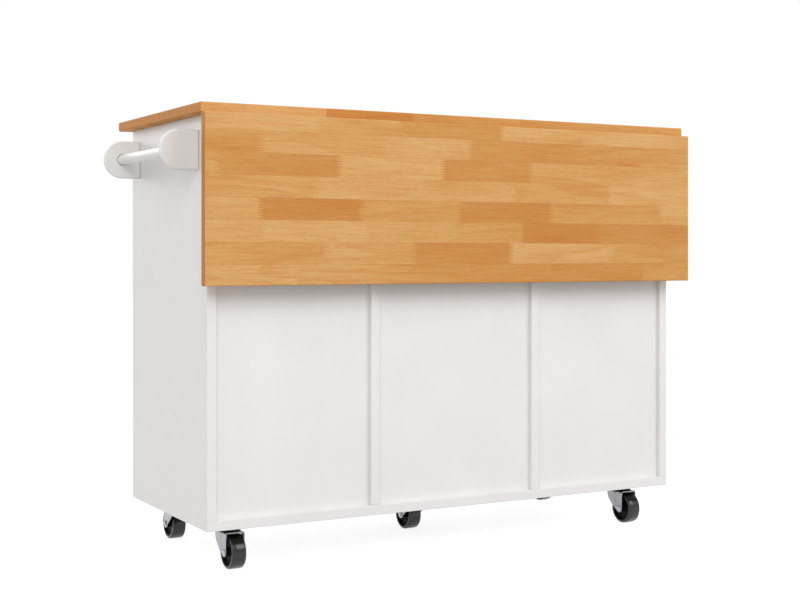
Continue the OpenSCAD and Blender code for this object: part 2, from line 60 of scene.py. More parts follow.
# %% [markdown]
# ## The camera
#
# The picture was taken from behind the island, from about counter height, with the camera held
# level. A level camera keeps the cabinet's uprights upright in the picture; moving the film instead
# of tilting the camera (the shift) brings the casters into the frame. The numbers come from fitting
# a pinhole camera to the cabinet's edges.

# %% Camera
CAMERA_AT = (1.5429, 2.7844, 0.6378)
CAMERA_HEADING = 150.9
FOCAL_LENGTH = 62.5
HORIZON_SHIFT = -0.0581

camera_data = bpy.data.cameras.new("camera")
camera_data.lens = FOCAL_LENGTH
camera_data.sensor_width = 36
camera_data.shift_y = HORIZON_SHIFT
camera = bpy.data.objects.new("camera", camera_data)
camera.location = CAMERA_AT
camera.rotation_euler = (math.radians(90), 0, math.radians(CAMERA_HEADING))
bpy.context.collection.objects.link(camera)
bpy.context.scene.camera = camera
print("the camera stands", round(math.hypot(*CAMERA_AT[:2]), 2), "m from the island's middle")

# %% [markdown]
# ## Short words for shader nodes
#
# A material is a graph. Writing each node with its settings and its wires on one line keeps a
# finish readable. One helper adds a node to a graph and plugs things into it; the others are short
# words for what every finish needs: arithmetic, a ramp of colours, a blend, and the place of a point.

# %% Helpers for node graphs
def add(tree, kind, plugs=None, **settings):
    """A new node; plugs maps a socket's name or number to a value or to another node's output."""
    made = tree.nodes.new(kind)
    for key, value in settings.items():
        setattr(made, key, value)
    for key, value in (plugs or {}).items():
        if isinstance(value, bpy.types.NodeSocket):
            tree.links.new(value, made.inputs[key])
        else:
            made.inputs[key].default_value = value
    return made


def calc(tree, operation, *values, clamp=False):
    """Arithmetic on values or on other nodes' outputs."""
    plugs = dict(enumerate(values))
    return add(tree, "ShaderNodeMath", plugs, operation=operation, use_clamp=clamp).outputs[0]


def ramp(tree, factor, *stops):
    """Colours or greys along a factor; each stop is (position, value)."""
    made = add(tree, "ShaderNodeValToRGB", {0: factor})
    elements = made.color_ramp.elements
    while len(elements) < len(stops):
        elements.new(0.5)
    for element, (position, value) in zip(elements, stops):
        element.position = position
        element.color = (*value[:3], 1) if isinstance(value, tuple) else (value, value, value, 1)
    return made.outputs["Color"]


def blend_colour(tree, factor, a, b, mode="MIX"):
    """Colour a, with colour b laid over it by a factor."""
    made = add(tree, "ShaderNodeMix", {0: factor, 6: a, 7: b}, data_type="RGBA", blend_type=mode)
    return made.outputs[2]


def srgb(red, green, blue):
    """A colour as a screen shows it, 0 to 255, in the linear values that a shader wants."""
    def linear(v):
        v /= 255
        return v / 12.92 if v <= 0.04045 else ((v + 0.055) / 1.055) ** 2.4
    return (linear(red), linear(green), linear(blue), 1)


def coordinates(tree, kind="Object"):
    """X, Y and Z of a point's place in metres, or with kind="Normal" of the way it faces."""
    return add(tree, "ShaderNodeSeparateXYZ", {0: add(tree, "ShaderNodeTexCoord").outputs[kind]}).outputs


# %% [markdown]
# ## Node groups: effects that several finishes share
#
# A shader group is a machine with named inlets and outlets. It is built once and placed in each
# material with other values. They all work in Object coordinates, which here are the real place in
# metres, so the grain keeps its true scale on every piece.

# %% Helpers that start a group and place one
def new_group(name, inlets, outlets):
    """An empty group with its sockets; gives the group, its inlets and its outlets."""
    group = bpy.data.node_groups.new(name, "ShaderNodeTree")
    for label, kind, value in inlets:
        socket = group.interface.new_socket(label, in_out="INPUT", socket_type="NodeSocket" + kind)
        if value is not None:
            socket.default_value = value
    for label, kind in outlets:
        group.interface.new_socket(label, in_out="OUTPUT", socket_type="NodeSocket" + kind)
    start = group.nodes.new("NodeGroupInput").outputs
    end = group.nodes.new("NodeGroupOutput").inputs
    return group, start, end


def place(tree, group, plugs):
    """Puts a group in a material with its own values, and gives its outlets."""
    return add(tree, "ShaderNodeGroup", plugs, node_tree=group).outputs


# %% [markdown]
# ### Staves
#
# Butcher block is glued up from narrow staves, and each stave from short sticks that are joined end
# to end by finger joints: a comb of small teeth. One row of the group's rule gives the stave, a
# Voronoi texture in one dimension cuts each row into sticks of random length, and a zigzag that is
# added to the position along the row turns every butt into a comb. The group says for each point
# which stick it lies in (three random numbers), and how near it is to a glue line.

# %% Group: staves
STICK_SPREAD = 0.75
ROW_SHIFT = 7.31
SEED_SPREAD = 40.0


def make_staves():
    """Cuts a board into staves and sticks; all its lengths are in metres."""
    inlets = [("Along", "Float", None), ("Across", "Float", None), ("Stave width", "Float", 0.044),
              ("Stick length", "Float", 0.24), ("Finger length", "Float", 0.017),
              ("Finger pitch", "Float", 0.0054), ("Glue line", "Float", 0.0005)]
    group, start, end = new_group("staves", inlets, [("Tone", "Float"), ("Tint", "Float"),
                                                     ("Seed", "Float"), ("Glue", "Float")])
    row_at = calc(group, "DIVIDE", start["Across"], start["Stave width"])
    row = calc(group, "FLOOR", row_at)
    in_row = calc(group, "FRACT", row_at)
    teeth = calc(group, "PINGPONG", calc(group, "DIVIDE", start["Across"], start["Finger pitch"]), 0.5)
    comb = calc(group, "MULTIPLY", calc(group, "MULTIPLY", teeth, 2.0), start["Finger length"])
    place_in_row = calc(group, "DIVIDE", calc(group, "ADD", start["Along"], comb), start["Stick length"])
    offset = calc(group, "MULTIPLY", row, ROW_SHIFT)
    position = calc(group, "ADD", place_in_row, offset)

    def cut_up(feature):
        return add(group, "ShaderNodeTexVoronoi", {"W": position, "Scale": 1.0, "Randomness": STICK_SPREAD},
                   voronoi_dimensions="1D", feature=feature).outputs

    parts = add(group, "ShaderNodeSeparateColor", {0: cut_up("F1")["Color"]})
    end_distance = calc(group, "MULTIPLY", cut_up("DISTANCE_TO_EDGE")["Distance"], start["Stick length"])
    side = calc(group, "SUBTRACT", 0.5, calc(group, "ABSOLUTE", calc(group, "SUBTRACT", in_row, 0.5)))
    side_distance = calc(group, "MULTIPLY", side, start["Stave width"])
    nearest = calc(group, "MINIMUM", side_distance, end_distance)
    group.links.new(parts.outputs[0], end["Tone"])
    group.links.new(parts.outputs[1], end["Tint"])
    seed = calc(group, "ADD", calc(group, "MULTIPLY", parts.outputs[2], SEED_SPREAD), row)
    group.links.new(seed, end["Seed"])
    glue = calc(group, "SUBTRACT", 1.0, calc(group, "DIVIDE", nearest, start["Glue line"]), clamp=True)
    group.links.new(glue, end["Glue"])
    return group


STAVES = make_staves()
print("staves:", len(STAVES.nodes), "nodes")


# %% [markdown]
# ### Grain
#
# The figure of a board is a cut through growth rings. A smooth noise that is stretched along the
# board has contour lines like those of a landscape, and its contours look like the arches of a
# flat-sawn board; a slope across the board turns them into the near straight lines of a board sawn
# towards the heart. A ring darkens slowly and ends at once, so the rings are a saw-tooth of that
# height. Over them lie broad clouds of tone, fine streaks, and short dark pores.

# %% Group: grain
def make_grain():
    """The figure of one stick; the seed shifts it along, so that no two sticks are alike."""
    inlets = [("Along", "Float", None), ("Across", "Float", None), ("Depth", "Float", None),
              ("Seed", "Float", 0.0), ("Rings", "Float", 5.0), ("Slope", "Float", 20.0)]
    group, start, end = new_group("grain", inlets, [("Figure", "Float"), ("Cloud", "Float"),
                                                    ("Streak", "Float"), ("Pores", "Float"),
                                                    ("Height", "Float")])

    def stretched(along, across):
        return add(group, "ShaderNodeCombineXYZ", {
            0: calc(group, "ADD", calc(group, "MULTIPLY", start["Along"], along), start["Seed"]),
            1: calc(group, "MULTIPLY", start["Across"], across),
            2: calc(group, "MULTIPLY", start["Depth"], across)}).outputs[0]

    def noise(along, across, detail, roughness=0.5):
        """A noise with so many waves a metre along the board, and so many across it."""
        return add(group, "ShaderNodeTexNoise", {"Vector": stretched(along, across), "Scale": 1.0,
                                                 "Detail": detail, "Roughness": roughness}).outputs[0]

    hills = noise(2.4, 14.0, 1.0, 0.35)
    slope = calc(group, "MULTIPLY", calc(group, "MULTIPLY", start["Across"], start["Slope"]),
                 calc(group, "SINE", calc(group, "MULTIPLY", start["Seed"], 2.1)))
    height = calc(group, "ADD", calc(group, "MULTIPLY", hills, start["Rings"]), slope)
    wobble = calc(group, "MULTIPLY", noise(9.0, 120.0, 3.0, 0.6), 0.4)
    ring = calc(group, "FRACT", calc(group, "ADD", height, wobble))
    figure = ramp(group, ring, (0.0, 0.0), (0.35, 0.12), (0.82, 0.85), (0.93, 1.0), (1.0, 0.0))
    cloud = noise(3.5, 11.0, 1.0)
    streak = calc(group, "MULTIPLY_ADD", noise(11.0, 260.0, 3.0, 0.65), 0.6,
                  calc(group, "MULTIPLY", noise(60.0, 620.0, 2.0, 0.7), 0.4))
    pores = calc(group, "MULTIPLY", calc(group, "SUBTRACT", noise(110.0, 1500.0, 0.0), 0.66), 7.0,
                 clamp=True)
    group.links.new(figure, end["Figure"])
    group.links.new(cloud, end["Cloud"])
    group.links.new(streak, end["Streak"])
    group.links.new(pores, end["Pores"])
    group.links.new(calc(group, "SUBTRACT", streak, pores), end["Height"])
    return group


GRAIN = make_grain()
print("grain:", len(GRAIN.nodes), "nodes")


# %% [markdown]
# ### Orange peel and mottle
#
# Sprayed lacquer, powder coat, moulded plastic and zinc plate all have faint unevenness: a ripple
# in the surface and a little cloudiness in the gloss. One group serves them all at other scales.

# %% Group: mottle
def make_mottle():
    """A fine ripple for the bump and a broad cloud for the gloss; their sizes are in metres."""
    group, start, end = new_group(
        "mottle", [("Ripple size", "Float", 0.002), ("Cloud size", "Float", 0.05)],
        [("Ripple", "Float"), ("Cloud", "Float")])
    place_in_m = add(group, "ShaderNodeTexCoord").outputs["Object"]

    def noise(size, detail):
        scale = calc(group, "DIVIDE", 1.0, size)
        return add(group, "ShaderNodeTexNoise", {"Vector": place_in_m, "Scale": scale,
                                                 "Detail": detail}).outputs[0]

    group.links.new(noise(start["Ripple size"], 1.0), end["Ripple"])
    group.links.new(noise(start["Cloud size"], 3.0), end["Cloud"])
    return group


MOTTLE = make_mottle()
print("mottle:", len(MOTTLE.nodes), "nodes")


# %% [markdown]
# ## Finishes
#
# Each finish is a function of its own: a Principled shader with its constants set straight on it,
# and only what changes over the surface wired in from the groups.

# %% Helpers for finishes
def new_finish(name, **constants):
    """A material, its graph and its shader, with the constants set on the shader's sockets."""
    finish = bpy.data.materials.new(name)
    finish.use_nodes = True
    shader = finish.node_tree.nodes["Principled BSDF"]
    for label, value in constants.items():
        shader.inputs[label.replace("_", " ")].default_value = value
    return finish, finish.node_tree, shader


def vary(tree, shader, socket, value, low, high):
    """Lets a noise of about 0.3 to 0.7 move a socket between two values."""
    span = add(tree, "ShaderNodeMapRange", {"Value": value, "From Min": 0.3, "From Max": 0.7,
                                            "To Min": low, "To Max": high})
    tree.links.new(span.outputs[0], shader.inputs[socket])


def bump(tree, shader, height, distance):
    """Lets a height that varies over the surface, times a distance in metres, bend the normal."""
    made = add(tree, "ShaderNodeBump", {"Height": height, "Distance": distance, "Strength": 1.0})
    tree.links.new(made.outputs[0], shader.inputs["Normal"])


# %% [markdown]
# ### Butcher block
#
# The wood is warm orange-tan, oiled to a low sheen. Every stick has its own tone between straw and
# light brown, a figure of arches and streaks, and fine fibres. The ends of the boards are end
# grain, which drinks more oil and so is darker and browner; the surface normal tells where they
# are. The worktop lies flat and the leaf hangs, so the width of the board is Y on one and Z on the
# other.

# %% Finish: butcher block
STRAW, TAN, ORANGE = srgb(219, 170, 110), srgb(208, 152, 88), srgb(200, 134, 70)
RING_BROWN, PORE_BROWN, GLUE_BROWN = srgb(203, 133, 66), srgb(160, 95, 46), srgb(158, 92, 44)
END_LIGHT, END_DARK = srgb(208, 142, 72), srgb(188, 122, 58)
DARK_STREAK, PALE_STREAK = (0.93, 0.82, 0.68), (1.04, 1.13, 1.18)
CLOUD_IN_TONE, TONE_SHIFT = 0.7, -0.4
FIGURE_LEAST, FIGURE_BY_TINT = 0.05, 0.42
PORES_SHOW, GLUE_SHOWS = 0.3, 0.25
HALF_WAY = 0.7


def faces_along(tree, axis):
    """1 where the surface faces along an axis (0 for X, 1 for Y, 2 for Z), and 0 elsewhere."""
    turned_to = calc(tree, "ABSOLUTE", coordinates(tree, "Normal")[axis])
    return calc(tree, "GREATER_THAN", turned_to, HALF_WAY)


def butcher_block(name, across_axis):
    """The wood of a board that runs along X and is glued up across Y or Z."""
    finish, tree, shader = new_finish(name, Roughness=0.5, IOR=1.45, Specular_IOR_Level=0.06)
    x, y, z = coordinates(tree)
    across, depth = (y, z) if across_axis == "Y" else (z, y)
    staves = place(tree, STAVES, {"Along": x, "Across": across})
    grain = place(tree, GRAIN, {"Along": x, "Across": across, "Depth": depth, "Seed": staves["Seed"]})
    tone = calc(tree, "ADD", staves["Tone"],
                calc(tree, "MULTIPLY_ADD", grain["Cloud"], CLOUD_IN_TONE, TONE_SHIFT), clamp=True)
    stick = ramp(tree, tone, (0.0, STRAW), (0.5, TAN), (1.0, ORANGE))
    strength = calc(tree, "MULTIPLY_ADD", staves["Tint"], FIGURE_BY_TINT, FIGURE_LEAST)
    figured = blend_colour(tree, calc(tree, "MULTIPLY", grain["Figure"], strength), stick, RING_BROWN)
    streaks = ramp(tree, grain["Streak"], (0.34, DARK_STREAK), (0.5, 1.0), (0.66, PALE_STREAK))
    streaked = blend_colour(tree, 1.0, figured, streaks, "MULTIPLY")
    pored = blend_colour(tree, calc(tree, "MULTIPLY", grain["Pores"], PORES_SHOW), streaked, PORE_BROWN)
    glued = blend_colour(tree, calc(tree, "MULTIPLY", staves["Glue"], GLUE_SHOWS), pored, GLUE_BROWN)
    at_end = faces_along(tree, 0)
    end_grain = ramp(tree, grain["Streak"], (0.35, END_DARK), (0.65, END_LIGHT))
    colour = blend_colour(tree, at_end, glued, end_grain)
    tree.links.new(colour, shader.inputs["Base Color"])
    vary(tree, shader, "Roughness", grain["Streak"], 0.45, 0.58)
    bump(tree, shader, grain["Height"], 0.00012)
    return finish


WORKTOP_WOOD = butcher_block("worktop_wood", "Y")
LEAF_WOOD = butcher_block("leaf_wood", "Z")
print("butcher block:", len(LEAF_WOOD.node_tree.nodes), "nodes, made for two boards")


# %% [markdown]
# ### White lacquer
#
# The boards are sprayed a warm white. The film is satin, a little cloudy in its sheen, with a very
# fine orange peel.

# %% Finish: white lacquer
def lacquer():
    """The boards' white."""
    finish, tree, shader = new_finish("white_lacquer", Roughness=0.4, IOR=1.5)
    mottle = place(tree, MOTTLE, {"Ripple size": 0.0025, "Cloud size": 0.12})
    colour = ramp(tree, mottle["Cloud"], (0.3, srgb(233, 231, 229)), (0.7, srgb(237, 235, 233)))
    tree.links.new(colour, shader.inputs["Base Color"])
    vary(tree, shader, "Roughness", mottle["Cloud"], 0.36, 0.46)
    bump(tree, shader, mottle["Ripple"], 0.00003)
    return finish


LACQUER = lacquer()
print("lacquer:", len(LACQUER.node_tree.nodes), "nodes")


# %% [markdown]
# ### Bare ply
#
# The drawer boxes are pale unpainted ply. Each board's grain runs along its length: the sides and
# the bottom have it from front to back, the back and the inner front from side to side. The normal
# tells the boards apart, and picks the two coordinates that the grain is drawn in.

# %% Finish: birch ply
def birch_ply():
    """The drawer boxes' bare wood."""
    finish, tree, shader = new_finish("birch_ply", Roughness=0.6, IOR=1.45)
    x, y, z = coordinates(tree)
    along = calc(tree, "MULTIPLY_ADD", faces_along(tree, 1), calc(tree, "SUBTRACT", x, y), y)
    across = calc(tree, "MULTIPLY_ADD", faces_along(tree, 2), calc(tree, "SUBTRACT", x, z), z)
    grain = place(tree, GRAIN, {"Along": along, "Across": across, "Seed": 3.0, "Rings": 4.0})
    face = ramp(tree, grain["Figure"], (0.0, srgb(226, 203, 166)), (1.0, srgb(212, 184, 142)))
    streaks = ramp(tree, grain["Streak"], (0.25, 0.88), (0.75, 1.06))
    colour = blend_colour(tree, 1.0, face, streaks, "MULTIPLY")
    tree.links.new(colour, shader.inputs["Base Color"])
    vary(tree, shader, "Roughness", grain["Streak"], 0.52, 0.68)
    bump(tree, shader, grain["Height"], 0.0001)
    return finish


BIRCH = birch_ply()
print("birch ply:", len(BIRCH.node_tree.nodes), "nodes")


# %% [markdown]
# ### Metals and black parts
#
# Pressed steel with bright zinc for hinges, slides and screws, and on the forks the same zinc painted
# greyer, as painted shade for the dark underside of the cabinet that they reflect; black coat for the
# caster plates; a matt powder coat for the handles; and black nylon for the wheels, glossy on the tread,
# with the sunk core painted darker and duller as the shade that falls in it.

# %% Finishes: metals and plastics
CLOUD_TO_RIPPLE = 12
CLOUD_SHADE = 0.88
GLOSS_SPREAD = 0.06


def coated(name, colour, roughness, ripple, depth, **constants):
    """A metal or plastic of one colour; ripple is the peel's size and depth its height, in metres."""
    finish, tree, shader = new_finish(name, Roughness=roughness, **constants)
    mottle = place(tree, MOTTLE, {"Ripple size": ripple, "Cloud size": ripple * CLOUD_TO_RIPPLE})
    darker = tuple(v * CLOUD_SHADE for v in colour[:3])
    tree.links.new(ramp(tree, mottle["Cloud"], (0.35, darker), (0.6, colour)), shader.inputs["Base Color"])
    vary(tree, shader, "Roughness", mottle["Cloud"], roughness - GLOSS_SPREAD, roughness + GLOSS_SPREAD)
    bump(tree, shader, mottle["Ripple"], depth)
    return finish


ZINC = coated("zinc_steel", srgb(190, 191, 192), 0.34, 0.0012, 0.00002, Metallic=1.0)
# The forks' zinc is painted greyer than the other zinc: painted shade for the dark underside of the cabinet that
# the forks reflect.
FORK_ZINC_PAINTED_SHADE = coated("fork_zinc_painted_shade", srgb(160, 161, 163), 0.3, 0.0012, 0.00002, Metallic=1.0)
BLACK_STEEL = coated("black_steel", srgb(30, 30, 31), 0.38, 0.001, 0.00002)
BLACK_HANDLE = coated("black_handle", srgb(26, 26, 27), 0.5, 0.0006, 0.00003)
NYLON = coated("wheel_black", srgb(15, 15, 15), 0.2, 0.0015, 0.000012, Specular_IOR_Level=0.55)
# The core's finish is painted shade: darker, duller nylon where the sunk web lies in shadow.
WHEEL_CORE_PAINTED_SHADE = coated("wheel_core_painted_shade", srgb(12, 12, 12), 0.5, 0.0015, 0.000012, Specular_IOR_Level=0.08)

SLOT_FINISHES = {"white_lacquer": LACQUER, "birch_ply": BIRCH, "zinc_steel": ZINC,
                 "black_steel": BLACK_STEEL, "black_handle": BLACK_HANDLE, "wheel_black": NYLON,
                 "butcher_block": WORKTOP_WOOD}
print(len(SLOT_FINISHES), "finishes for the record's material slots")

# %% [markdown]
# ## Dressing the solids that stay
#
# Most boards already have their true shape. They get their finish and, because no real edge is
# perfectly sharp, a narrow bevel. The bevel is a modifier: it rounds what is drawn and leaves the
# solid as it is. The solids come in as triangles, each face by itself, so a weld first joins the
# faces at their edges, a planar decimation melts the triangles of each flat face together, and the
# bevel then runs cleanly.

# %% Finish and soften every node
SOFT_EDGES = {"countertop": 2.2, "drop_leaf": 2.2, "bottom_board": 1.3, "top_rails": 0.6,
              "towel_arm_front": 4.0, "towel_arm_back": 4.0, "shelf_left": 1.0, "shelf_right": 1.0}
SOFT_EDGES.update({name: 1.3 for name in NODES if name.startswith(("side_panel", "divider"))})
SOFT_EDGES.update({name: 0.5 for name in NODES if name.endswith("_box")})
SOFT_EDGES.update({name: 0.8 for name in NODES if name.endswith("_handle")})
SOFT_EDGES.update({name: 0.25 for name in NODES if name.endswith(("_slides", "_cups", "strut_left",
                                                                  "strut_right"))})
SOFT_EDGES.update({"support_tracks": 0.3, "support_arms": 0.3, "drawer_slide_rails": 0.25,
                   "door_hinge_arms": 1.0, "leaf_hinge_plates": 0.2, "leaf_hinge_flaps": 0.2})


def round_edges(made, width, segments=2):
    """Rounds a piece's edges by a width in millimetres."""
    edge = made.modifiers.new("soft edges", "BEVEL")
    edge.width = width * MM
    edge.segments = segments
    edge.limit_method = "ANGLE"
    edge.angle_limit = math.radians(40)
    edge.use_clamp_overlap = False
    edge.harden_normals = True


def soften(node, width):
    """Joins the triangles of a solid's flat faces, and then rounds its edges."""
    weld = node.modifiers.new("weld", "WELD")
    weld.merge_threshold = 0.01 * MM
    melt = node.modifiers.new("melt", "DECIMATE")
    melt.decimate_type = "DISSOLVE"
    melt.angle_limit = math.radians(1)
    round_edges(node, width, segments=3)


slot_of = {part["node"]: part["material_slot"] for part in frame["record"]["subparts"]}
for name, node in NODES.items():
    finish = LEAF_WOOD if name == "drop_leaf" else SLOT_FINISHES[slot_of[name]]
    for material_slot in node.material_slots:
        material_slot.material = finish
    if name in SOFT_EDGES:
        soften(node, SOFT_EDGES[name])
print("softened", len(SOFT_EDGES), "nodes")

# %% [markdown]
# ## Making pieces from numbers
#
# A shape here is a list of points, in millimetres, and a list of faces. Boxes, prisms (an outline
# pushed along Z) and lathed bodies (a profile turned round Z) are enough for hardware: each is made
# at the origin, moved to its place, and several are joined into one piece on one body of the frame.

# %% Helpers for shapes
def box_shape(low, high):
    """A box between two corners."""
    points = [(x, y, z) for x in (low[0], high[0]) for y in (low[1], high[1]) for z in (low[2], high[2])]
    return points, [(0, 1, 3, 2), (4, 6, 7, 5), (0, 4, 5, 1), (2, 3, 7, 6), (0, 2, 6, 4), (1, 5, 7, 3)]


def prism(outline, low, high):
    """An outline in X and Y, counted anticlockwise, from height low to high."""
    count = len(outline)
    points = [(x, y, low) for x, y in outline] + [(x, y, high) for x, y in outline]
    sides = [(i, (i + 1) % count, count + (i + 1) % count, count + i) for i in range(count)]
    return points, [tuple(range(count))[::-1], tuple(range(count, 2 * count)), *sides]


def lathe(profile, steps=48, closed=False):
    """Turns (radius, height) pairs round Z, from the lowest to the highest; a radius of 0 closes it."""
    points, rings, faces = [], [], []
    for radius, height in profile:
        rings.append(range(len(points), len(points) + (1 if radius == 0 else steps)))
        turns = [0] if radius == 0 else range(steps)
        points += [(radius * math.cos(math.tau * i / steps), radius * math.sin(math.tau * i / steps), height)
                   for i in turns]
    pairs = list(zip(rings, rings[1:])) + ([(rings[-1], rings[0])] if closed else [])
    for below, above in pairs:
        for i in range(steps):
            corners = [below[i % len(below)], below[(i + 1) % len(below)],
                       above[(i + 1) % len(above)], above[i % len(above)]]
            faces.append(tuple(dict.fromkeys(corners)))
    return points, faces


def moved(shape, matrix):
    """A shape in another place."""
    return [tuple(matrix @ Vector(point)) for point in shape[0]], shape[1]


def joined(shapes):
    """Several shapes as one."""
    points, faces = [], []
    for shape in shapes:
        faces += [tuple(i + len(points) for i in face) for face in shape[1]]
        points += shape[0]
    return points, faces


def facing(point, direction):
    """A matrix that puts a shape's origin at a point and turns its +Z to a direction."""
    return Matrix.Translation(point) @ Vector(direction).to_track_quat("Z", "Y").to_matrix().to_4x4()


def piece(name, shapes, finish, body, soft=0.0, replaces=()):
    """A Blender object from shapes in millimetres, which rides on a body of the frame."""
    points, faces = joined(shapes)
    mesh = bpy.data.meshes.new(name)
    mesh.from_pydata([Vector(point) * MM for point in points], [], faces)
    mesh.validate()
    mesh.shade_smooth()
    mesh.set_sharp_from_angle(angle=math.radians(35))
    mesh.materials.append(finish)
    made = bpy.data.objects.new(name, mesh)
    bpy.context.collection.objects.link(made)
    if soft:
        round_edges(made, soft)
    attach(made, body)
    if replaces:
        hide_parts(*replaces)
    return made


# %% [markdown]
# ## Casters
#
# A caster is four parts: a plate with its ball race, a fork that is pressed from one strip of sheet,
# a wheel, and an axle bolt with a nut. The solids have the right sizes but flat sheets, so each is
# drawn again here with the shape that the press gives it. All of them are made round the swivel
# axis, with the floor at height 0 and the trail towards +Y, and then turned into place.

# %% Where the casters stand
def in_mm(name):
    """A node's lowest and highest corners, in millimetres."""
    low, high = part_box(name)
    return low / MM, high / MM


def joint_at(name):
    """A joint's place, in millimetres."""
    return [v / MM for v in next(joint for joint in frame["joints"] if joint["name"] == name)["pos_m"]]


CASTERS = []
for number in range(1, 6):
    axle_low, axle_high = in_mm(f"caster_{number}_axle")
    swivel_x, swivel_y, _ = joint_at(f"caster_{number}_swivel")
    axle_y = (axle_low.y + axle_high.y) / 2
    turn = 0 if axle_y > swivel_y else math.pi
    CASTERS.append(Matrix.Translation((swivel_x, swivel_y, 0)) @ Matrix.Rotation(turn, 4, "Z"))
TRAIL = abs(axle_y - swivel_y)
wheel_low, wheel_high = in_mm("caster_1_wheel")
fork_low, fork_high = in_mm("caster_1_fork")
WHEEL_R = (wheel_high.z - wheel_low.z) / 2
FORK_OUT = (fork_high.x - fork_low.x) / 2
CROWN_TOP = fork_high.z
BOARD_Z = in_mm("caster_plates")[1].z
print("trail", round(TRAIL, 1), "mm, crown at", round(CROWN_TOP, 1), "mm, board at", round(BOARD_Z, 1), "mm")

# %% [markdown]
# ### The fork
#
# The sheet runs up one leg, over the crown and down the other. Each row of points lies across the
# strip, from its rear edge to its front edge, and the rows follow the strip round the two bends. The
# rear of each leg stands a little proud of the front, with a crease between, which stiffens the
# sheet. The strip is one surface, and a Solidify modifier gives it its thickness.

# %% Fork
SHEET, SHEET_EDGE = 2.3, 0.5
# Rows of height over the floor, rear edge and front edge; a leg ends in a round eye at the axle.
FORK_EDGES = [(24.7, 16.2, 19.8), (25.6, 13.4, 22.6), (27.4, 10.4, 25.2), (30.5, 6.6, 27.5),
              (35, 1.0, 28.5), (42, -7.8, 28.5), (49, -16.2, 28.5), (55, -21.4, 28.5),
              (62, -24.5, 28.5), (70, -25, 28.5)]
CROWN_BACK, CROWN_BOW, BEND = 25, 1.6, 3.2
CREASE_Y, CREASE_W, CREASE_H = 5.5, 2.2, 1.2
LEG_ROWS, BEND_ROWS, CROWN_ROWS, COLUMNS = 32, 6, 6, 22


def smooth_between(table, at):
    """Reads a table of (place, values...) rows at a place, on a smooth curve through the rows."""
    last = len(table) - 2
    i = max(0, min(last, next((k for k in range(last + 1) if at < table[k + 1][0]), last)))
    before, here, after, beyond = table[max(i - 1, 0)], table[i], table[i + 1], table[min(i + 2, last + 1)]
    t = (at - here[0]) / (after[0] - here[0])
    values = []
    for k in range(1, len(here)):
        rise_here = (after[k] - before[k]) / (after[0] - before[0]) * (after[0] - here[0])
        rise_after = (beyond[k] - here[k]) / (beyond[0] - here[0]) * (after[0] - here[0])
        values.append((2 * t**3 - 3 * t**2 + 1) * here[k] + (t**3 - 2 * t**2 + t) * rise_here
                      + (3 * t**2 - 2 * t**3) * after[k] + (t**3 - t**2) * rise_after)
    return values


def fork_shape():
    """The middle of the fork's sheet; a station is a place on the strip and the way it faces there."""
    leg_x, top = FORK_OUT - SHEET / 2, CROWN_TOP - SHEET / 2
    tip = FORK_EDGES[0][0]
    heights = [tip + (top - BEND - tip) * (i / LEG_ROWS) ** 1.5 for i in range(LEG_ROWS + 1)]
    stations = [(leg_x, z, 1, 0) for z in heights]
    for i in range(1, BEND_ROWS + 1):
        a = math.radians(90 / BEND_ROWS * i)
        stations.append((leg_x - BEND + BEND * math.cos(a), top - BEND + BEND * math.sin(a),
                         math.cos(a), math.sin(a)))
    stations += [((leg_x - BEND) * (1 - i / CROWN_ROWS), top, 0, 1) for i in range(1, CROWN_ROWS + 1)]
    stations += [(-x, z, -nx, nz) for x, z, nx, nz in stations[-2::-1]]
    points, faces = [], []
    for x, z, nx, nz in stations:
        rear, front = smooth_between(FORK_EDGES, min(z, FORK_EDGES[-1][0]))
        if nz > 0:
            rear = -CROWN_BACK - CROWN_BOW * (1 - (abs(x) / leg_x) ** 2)
        for j in range(COLUMNS + 1):
            y = rear + (front - rear) * j / COLUMNS
            proud = CREASE_H * (0.5 - 0.5 * math.tanh((y - CREASE_Y) / (CREASE_W / 2))) * nx * nx
            points.append((x + proud * nx, y, z + proud * nz))
    for i in range(len(stations) - 1):
        for j in range(COLUMNS):
            a = i * (COLUMNS + 1) + j
            faces.append((a, a + COLUMNS + 1, a + COLUMNS + 2, a + 1))
    return points, faces


def pressed(made):
    """Gives a surface the thickness of sheet, with edges that are a little worn."""
    solid = made.modifiers.new("sheet", "SOLIDIFY")
    solid.thickness = SHEET * MM
    solid.offset = 0
    round_edges(made, SHEET_EDGE)


# %% [markdown]
# ### The wheel
#
# One turned profile: a hub that runs between the legs, a sunk web, a flange ring, and a flat tread
# with rounded shoulders. A lathe makes the faces band by band, so the bands of the core can get a
# material of their own by their number: a darker, duller nylon that paints the shade in the sunk web.

# %% The wheel's profile, as (radius, height over the tread's side)
AXLE_BORE_R = 3.2
HUB_PROUD = 3.2
WHEEL_HALF = (wheel_high.x - wheel_low.x) / 2 - HUB_PROUD
WHEEL_SIDE = [(AXLE_BORE_R, HUB_PROUD), (8.2, HUB_PROUD), (8.8, HUB_PROUD - 0.6), (9.3, -4.4),
              (10.2, -5.4), (16, -6.0), (WHEEL_R - 9.2, -6.0), (WHEEL_R - 8.0, -5.0),
              (WHEEL_R - 6.9, -1.4), (WHEEL_R - 6.1, -0.2),
              (WHEEL_R - 5.0, 0.0), (WHEEL_R - 3.2, 0.0), (WHEEL_R - 1.9, -0.4), (WHEEL_R - 0.7, -1.5),
              (WHEEL_R, -3.2), (WHEEL_R, -WHEEL_HALF + 3)]
WHEEL_PROFILE = [(radius, -WHEEL_HALF - out) for radius, out in WHEEL_SIDE]
WHEEL_PROFILE += [(radius, WHEEL_HALF + out) for radius, out in WHEEL_SIDE[::-1]]
WHEEL_STEPS = 96
